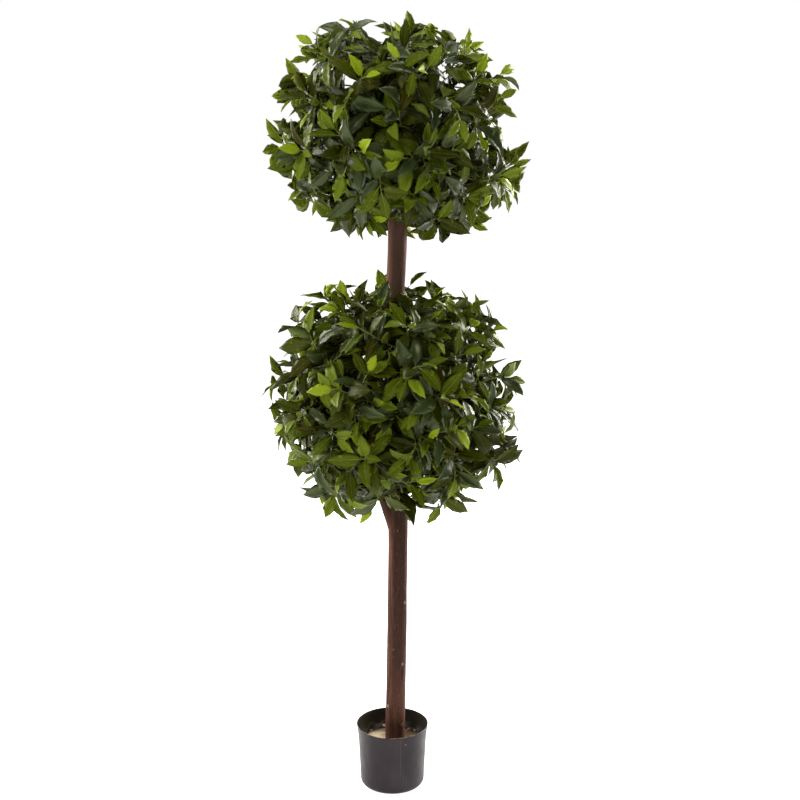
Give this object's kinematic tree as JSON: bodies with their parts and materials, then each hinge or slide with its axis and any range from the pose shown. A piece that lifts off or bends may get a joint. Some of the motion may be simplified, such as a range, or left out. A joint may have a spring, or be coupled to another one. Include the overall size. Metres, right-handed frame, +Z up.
{
  "type": "artificial double-ball bay topiary in a pot",
  "caption": "Artificial topiary tree with two leafy balls on one bare pole, held by cement in a small round plastic pot.",
  "frame": {"origin": "centre of the pot's flat underside", "axes": "+Z up along the trunk, -Y towards the front, +X to the viewer's right"},
  "size_m": [0.6141, 0.6098, 1.8299],
  "materials": {
    "pot_plastic": "satin",
    "cement": "matte",
    "bark": "matte",
    "leaves": "satin"
  },
  "bodies": {
    "root": {"pot": "pot_plastic", "cement_fill": "cement", "trunk": "bark", "left_bough": "bark", "right_bough": "bark", "lower_spray_01": "leaves", "lower_spray_02": "leaves", "lower_spray_03": "leaves", "lower_spray_04": "leaves", "lower_spray_05": "leaves", "lower_spray_06": "leaves", "lower_spray_07": "leaves", "lower_spray_08": "leaves", "lower_spray_09": "leaves", "lower_spray_10": "leaves", "lower_spray_11": "leaves", "lower_spray_12": "leaves", "upper_spray_01": "leaves", "upper_spray_02": "leaves", "upper_spray_03": "leaves", "upper_spray_04": "leaves", "upper_spray_05": "leaves", "upper_spray_06": "leaves", "upper_spray_07": "leaves", "upper_spray_08": "leaves", "upper_spray_09": "leaves", "upper_spray_10": "leaves", "upper_spray_11": "leaves", "upper_spray_12": "leaves"}
  },
  "joints": []
}
